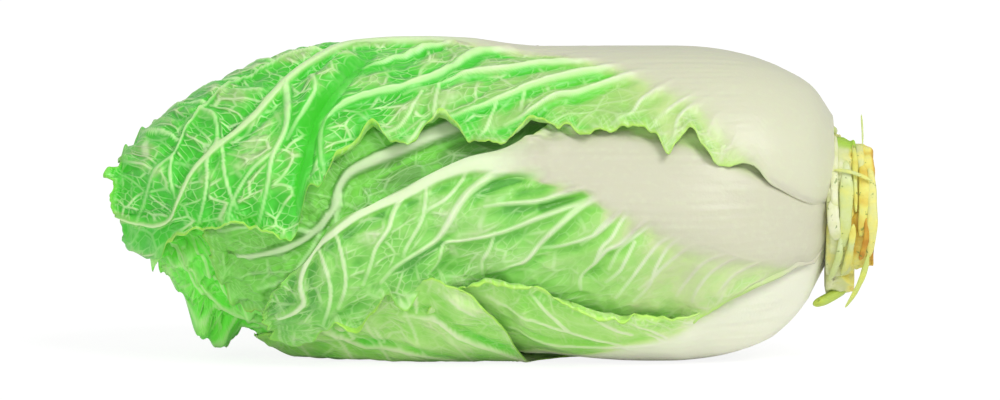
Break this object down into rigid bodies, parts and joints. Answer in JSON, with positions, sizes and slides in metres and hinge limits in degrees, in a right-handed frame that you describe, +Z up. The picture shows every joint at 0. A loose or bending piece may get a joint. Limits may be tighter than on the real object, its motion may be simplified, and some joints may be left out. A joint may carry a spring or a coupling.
{
  "type": "napa cabbage",
  "caption": "Whole head of napa cabbage lying on its side, with overlapping crinkled green leaves on broad white petioles round a short trimmed stem.",
  "frame": {"origin": "on the resting plane, under the middle of the head's length, at the rest_face mount", "axes": "+X along the head towards the trimmed butt, with the leaf tips at -X; +Z up as the head lies; -Y the side with leaf_front"},
  "size_m": [0.304, 0.1265, 0.125],
  "materials": {
    "outer_leaf": "satin",
    "second_leaf": "satin",
    "inner_leaf": "satin",
    "heart": "satin",
    "stem": "matte",
    "stub": "matte"
  },
  "bodies": {
    "root": {"leaf_under": "outer_leaf", "leaf_lower": "outer_leaf", "leaf_top": "outer_leaf", "leaf_front": "outer_leaf", "leaf_back": "outer_leaf", "leaf_shoulder": "second_leaf", "leaf_tip": "second_leaf", "leaf_back_upper": "second_leaf", "leaf_back_lower": "second_leaf", "leaf_back_inner": "second_leaf", "leaf_inner_1": "inner_leaf", "leaf_inner_2": "inner_leaf", "leaf_inner_3": "inner_leaf", "leaf_inner_4": "inner_leaf", "leaf_inner_5": "inner_leaf", "heart_leaf_1": "heart", "heart_leaf_2": "heart", "heart_leaf_3": "heart", "heart_bud": "heart", "leaf_stub_1": "stub", "leaf_stub_2": "stub", "leaf_stub_3": "stub", "leaf_stub_4": "stub", "leaf_stub_5": "stub", "leaf_stub_6": "stub", "leaf_stub_7": "stub", "leaf_stub_8": "stub", "stem_butt": "stem"}
  },
  "joints": []
}
